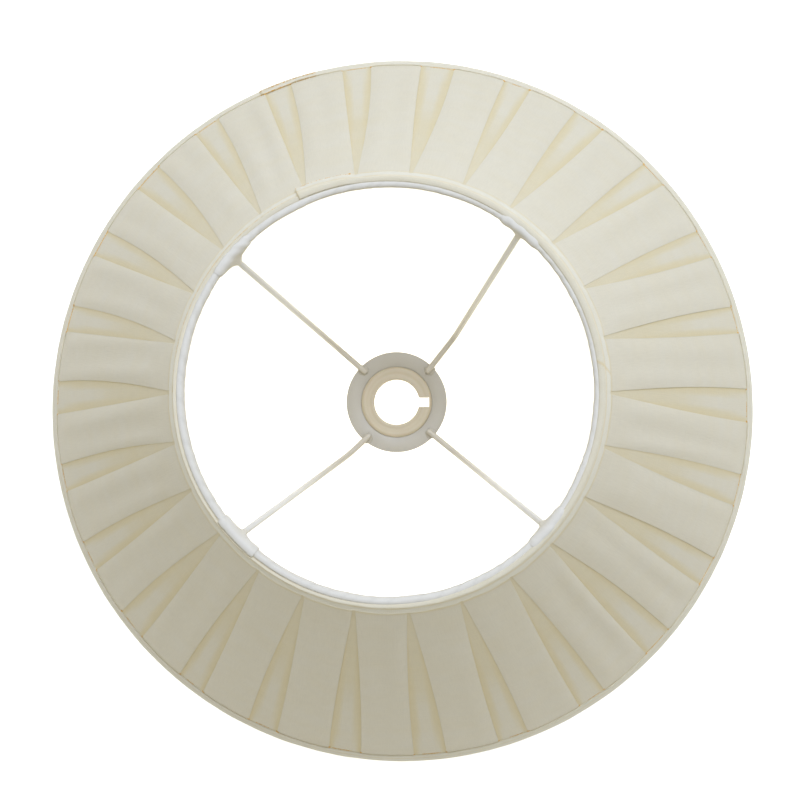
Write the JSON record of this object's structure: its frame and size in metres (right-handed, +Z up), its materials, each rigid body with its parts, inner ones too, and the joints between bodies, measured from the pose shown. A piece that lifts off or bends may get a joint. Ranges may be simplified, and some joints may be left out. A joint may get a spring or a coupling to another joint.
{
  "type": "lamp shade",
  "caption": "Wide cone-shaped lamp shade: box-pleated ivory cloth over a lined wire frame, with a sunk four-arm fitter and a reducer ring.",
  "frame": {"origin": "middle of the circle that the lower rim stands on", "axes": "+Z up along the shade's axis, from the wide lower rim to the narrow top; +X towards the reducer ring's keyway"},
  "size_m": [0.5, 0.4996, 0.28],
  "materials": {
    "frame_enamel": "satin",
    "fitter_enamel": "satin",
    "plate_enamel": "satin",
    "reducer_plastic": "matte",
    "lining_cloth": "matte",
    "cover_cloth": "matte",
    "trim_cloth": "matte"
  },
  "bodies": {
    "shade": {"top_ring": "frame_enamel", "bottom_ring": "frame_enamel", "strut_1": "frame_enamel", "strut_2": "frame_enamel", "strut_3": "frame_enamel", "strut_4": "frame_enamel", "strut_5": "frame_enamel", "strut_6": "frame_enamel", "strut_7": "frame_enamel", "strut_8": "frame_enamel", "fitter_arm_1": "fitter_enamel", "fitter_arm_2": "fitter_enamel", "fitter_arm_3": "fitter_enamel", "fitter_arm_4": "fitter_enamel", "fitter_plate": "plate_enamel", "lining": "lining_cloth", "neatener_1": "lining_cloth", "neatener_2": "lining_cloth", "neatener_3": "lining_cloth", "neatener_4": "lining_cloth", "pleated_cover": "cover_cloth", "top_trim": "trim_cloth", "bottom_trim": "trim_cloth"},
    "reducer": {"reducer_ring": "reducer_plastic"}
  },
  "joints": [
    {"name": "reducer_lift", "type": "slide", "parent": "shade", "child": "reducer", "axis": [0, 0, 1], "range_m": [0, 0.02]}
  ]
}
